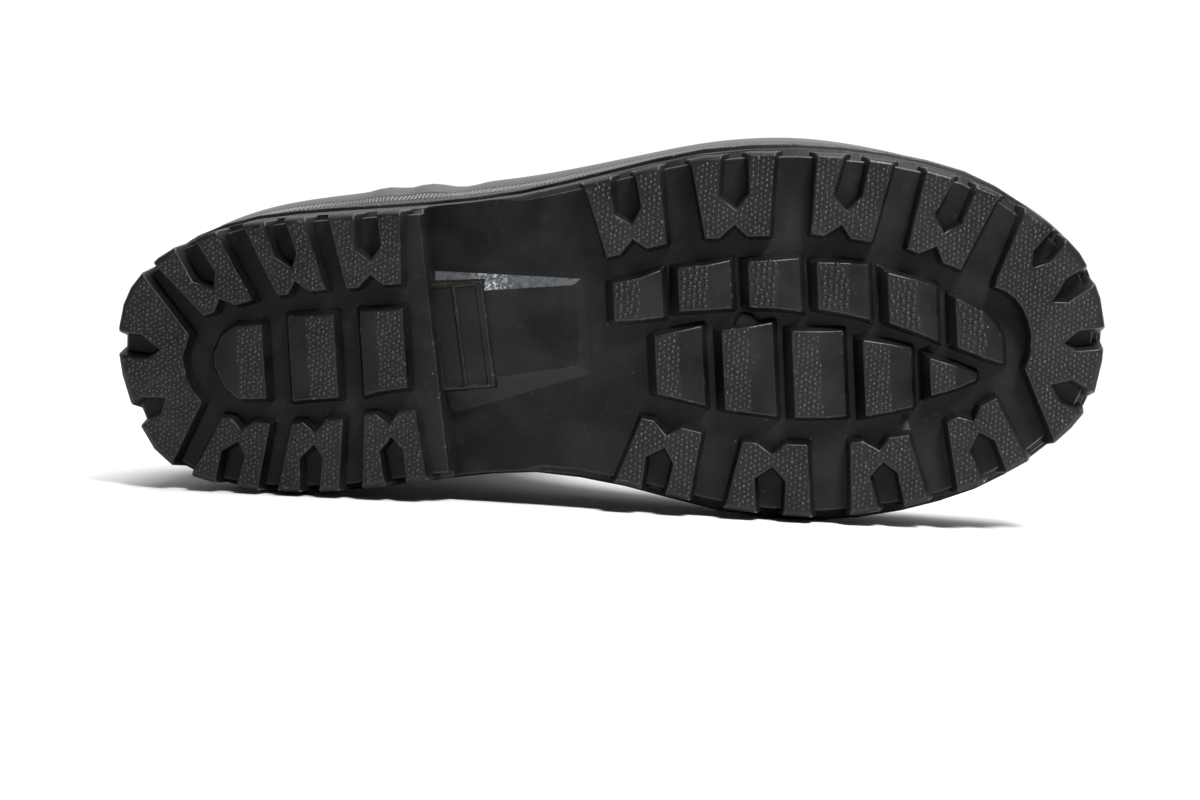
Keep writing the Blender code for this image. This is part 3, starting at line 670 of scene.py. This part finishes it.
upperMesh = bootCopy("upper")
toQuads(upperMesh, upperFacts["crisp"])
ankleRises = [e for e in upperMesh.edges if isAnkleRise(e)]
bmesh.ops.subdivide_edges(upperMesh, edges=ankleRises, cuts=1)  # closer rings where the folds are
upperMesh = smoothed(upperMesh, upperFacts["levels"])
upperMesh.normal_update()
moves = [(v, v.normal.copy() * creaseShift(v.co)) for v in upperMesh.verts if v.co.z > upperFacts["foldsFrom"]]
inside = set()
for face in upperMesh.faces:
    middle = face.calc_center_median()
    face.smooth = True
    if face.normal.dot(middle - centreOf(middle)) < 0.0:
        face.material_index = 1
        inside.update(v.index for v in face.verts)
for vertex, move in moves:
    vertex.co += -move if vertex.index in inside else move
seam = upperMesh.verts.layers.float.new("seam")
for vertex in upperMesh.verts:
    lean = upperFacts["seamLean"] * max(0.0, vertex.co.z - upperFacts["seamStart"]) / upperFacts["seamRun"]
    vertex[seam] = vertex.co.y - lean  # mm from the mould's parting plane
weave = upperMesh.loops.layers.uv.new("weave")
for face in upperMesh.faces:
    turns = [math.atan2(loop.vert.co.y, loop.vert.co.x - lastFacts["shaftMiddle"]) for loop in face.loops]
    for loop, turn in zip(face.loops, turns):
        if max(turns) - min(turns) > math.pi and turn < 0.0:
            turn += 2.0 * math.pi
        loop[weave].uv = (turn * upperFacts["weaveRadius"] * 0.001, loop.vert.co.z * 0.001)
stripMap(upperMesh, [f for f in upperMesh.faces if f.material_index == 0])
upper = addPiece("rubber_upper", upperMesh, [upperRubber, liningCloth], "upper")
print("upper", len(upper.data.polygons))

# Needled felt: grey fibres pressed flat where the foot stands, matt with a faint nap
# Real fibres are far too thin to show, so they are drawn coarser
feltLook = {
    "fibre": 0.7, "tuft": 9.0, "fibreDepth": 0.4, "tuftDepth": 0.3,
    "dark": "#5a5d5e", "light": "#83878a", "pressed": "#4b4d4d", "rough": 0.95, "sheen": 0.4,
}


def felt(name, look):
    material, tree, shader = newMaterial(name)
    place = addNode(tree, "ShaderNodeTexCoord").outputs["Object"]
    fibres = addNode(tree, "ShaderNodeTexNoise", None, {
        "Vector": place, "Scale": 1000.0 / look["fibre"], "Detail": 5.0, "Roughness": 0.7,
    })
    tufts = addNode(tree, "ShaderNodeTexNoise", None, {"Vector": place, "Scale": 1000.0 / look["tuft"], "Detail": 3.0})
    fibreShare = addNode(tree, "ShaderNodeMapRange", None, {"Value": fibres, "From Min": 0.35, "From Max": 0.65})
    tuftShare = addNode(tree, "ShaderNodeMapRange", None, {
        "Value": tufts, "From Min": 0.5, "From Max": 0.7, "To Min": 0.0, "To Max": 0.4,
    })
    mixed = addNode(tree, "ShaderNodeMixRGB", None, {
        "Fac": fibreShare, "Color1": linear(look["dark"]), "Color2": linear(look["light"]),
    })
    worn = addNode(tree, "ShaderNodeMixRGB", None, {
        "Fac": tuftShare, "Color1": mixed, "Color2": linear(look["pressed"]),
    })
    tree.links.new(worn.outputs[0], shader.inputs["Base Color"])
    lumps = addNode(tree, "ShaderNodeBump", None, {"Height": tufts, "Distance": look["tuftDepth"] * 0.001})
    hairs = addNode(tree, "ShaderNodeBump", None, {
        "Height": fibres, "Distance": look["fibreDepth"] * 0.001, "Normal": lumps,
    })
    tree.links.new(hairs.outputs[0], shader.inputs["Normal"])
    shader.inputs["Roughness"].default_value = look["rough"]
    shader.inputs["Sheen Weight"].default_value = look["sheen"]
    return material


insoleFacts = {"flat": 1.0, "sharp": 50.0}
insoleMesh = bootCopy("insole")
insoleFlat = math.radians(insoleFacts["flat"])
bmesh.ops.dissolve_limit(insoleMesh, angle_limit=insoleFlat, verts=insoleMesh.verts, edges=insoleMesh.edges)
for face in insoleMesh.faces:
    face.smooth = True
for edge in insoleMesh.edges:
    edge.smooth = edge.calc_face_angle(0.0) < math.radians(insoleFacts["sharp"])
bmesh.ops.triangulate(insoleMesh, faces=[f for f in insoleMesh.faces if len(f.verts) > 4])
insole = addPiece("felt_insole", insoleMesh, [felt("needled_felt", feltLook)], "insole")
print("insole", len(insole.data.polygons))

# Stage: wide white paper floor under a soft overhead light, bright behind the boot and dim in front of it
floorFacts = {"size": 40.0, "fibre": 60.0, "dark": "#f4f4f4", "light": "#f8f8f8", "rough": 0.85}
floorMesh = bmesh.new()
bmesh.ops.create_grid(floorMesh, x_segments=8, y_segments=8, size=floorFacts["size"])
floorData = bpy.data.meshes.new("white_floor")
floorMesh.to_mesh(floorData)
floorMesh.free()
floor = bpy.data.objects.new("white_floor", floorData)
bpy.context.scene.collection.objects.link(floor)
paper, paperTree, paperShader = newMaterial("white_paper")
paperPlace = addNode(paperTree, "ShaderNodeTexCoord").outputs["Object"]
paperFibre = addNode(paperTree, "ShaderNodeTexNoise", None, {
    "Vector": paperPlace, "Scale": 1000.0 / floorFacts["fibre"],
})
paperShade = addNode(paperTree, "ShaderNodeMixRGB", None, {
    "Fac": paperFibre, "Color1": linear(floorFacts["dark"]), "Color2": linear(floorFacts["light"]),
})
paperTree.links.new(paperShade.outputs[0], paperShader.inputs["Base Color"])
paperShader.inputs["Roughness"].default_value = floorFacts["rough"]
floorData.materials.append(paper)
print("floor", floorFacts["size"])

lightFacts = {
    "front": 0.05, "back": 1.0, "fade": (-0.2, 0.7), "seen": 1.05,
    "overhead": 3.3, "overheadSpread": 50.0, "overheadLean": (-12.0, 6.0, 0.0),
    "keyPlace": (0.42, -0.85, 0.95), "keyAim": (0.09, -0.19, 0.06), "keySide": 0.3, "keyPower": 1.1, "keyBeam": 36.0,
}
world = bpy.data.worlds.new("studio")
world.use_nodes = True
sky = world.node_tree
backdrop = sky.nodes["Background"]
skyPlace = addNode(sky, "ShaderNodeTexCoord").outputs["Generated"]
heading = addNode(sky, "ShaderNodeSeparateXYZ", None, {"Vector": skyPlace})
glow = addNode(sky, "ShaderNodeMapRange", None, {
    "Value": heading.outputs["Y"], "From Min": lightFacts["fade"][0], "From Max": lightFacts["fade"][1],
    "To Min": lightFacts["front"], "To Max": lightFacts["back"],
})
cameraRay = addNode(sky, "ShaderNodeLightPath").outputs["Is Camera Ray"]
seen = addNode(sky, "ShaderNodeMath", {"operation": "MULTIPLY"}, {0: cameraRay, 1: lightFacts["seen"]})
strength = addNode(sky, "ShaderNodeMath", {"operation": "MAXIMUM"}, {0: glow, 1: seen})
sky.links.new(strength.outputs[0], backdrop.inputs["Strength"])
backdrop.inputs["Color"].default_value = (1.0, 1.0, 1.0, 1.0)
bpy.context.scene.world = world

key = bpy.data.lights.new("right_box", "AREA")
key.shape = "SQUARE"
key.size = lightFacts["keySide"]
key.energy = lightFacts["keyPower"]
key.spread = math.radians(lightFacts["keyBeam"])
keyLamp = bpy.data.objects.new("right_box", key)
keyLamp.location = lightFacts["keyPlace"]
keyRun = Vector(lightFacts["keyAim"]) - Vector(lightFacts["keyPlace"])
keyLamp.rotation_euler = keyRun.to_track_quat("-Z", "Y").to_euler()
bpy.context.scene.collection.objects.link(keyLamp)
overhead = bpy.data.lights.new("overhead", "SUN")
overhead.energy = lightFacts["overhead"]
overhead.angle = math.radians(lightFacts["overheadSpread"])
overheadLamp = bpy.data.objects.new("overhead", overhead)
overheadLamp.rotation_euler = [math.radians(lean) for lean in lightFacts["overheadLean"]]
bpy.context.scene.collection.objects.link(overheadLamp)
print("lights", key.energy, overhead.energy)

# Camera of the photo, found in the boot's own frame
cameraFacts = {"spot": (196.6, -34.0, -650.0), "aim": (144.6, 18.0, 0.0), "roll": 2.5, "lens": 66.53, "sensor": 36.0}
spot = toWorld @ Vector(cameraFacts["spot"])
aim = toWorld @ Vector(cameraFacts["aim"])
forward = (aim - spot).normalized()
alongBoot = toWorld.to_3x3() @ Vector((1.0, 0.0, 0.0))
level = (alongBoot - forward * alongBoot.dot(forward)).normalized()
downward = forward.cross(level)
roll = math.radians(cameraFacts["roll"])
right = level * math.cos(roll) + downward * math.sin(roll)
upward = level * math.sin(roll) - downward * math.cos(roll)
lens = bpy.data.cameras.new("photo_camera")
lens.sensor_width = cameraFacts["sensor"]
lens.lens = cameraFacts["lens"]
camera = bpy.data.objects.new("photo_camera", lens)
camera.matrix_world = Matrix((
    (right.x, upward.x, -forward.x, spot.x),
    (right.y, upward.y, -forward.y, spot.y),
    (right.z, upward.z, -forward.z, spot.z),
    (0.0, 0.0, 0.0, 1.0),
))
bpy.context.scene.collection.objects.link(camera)
bpy.context.scene.camera = camera
bpy.context.scene.view_settings.view_transform = "Standard"
print("camera", [round(c, 3) for c in spot])
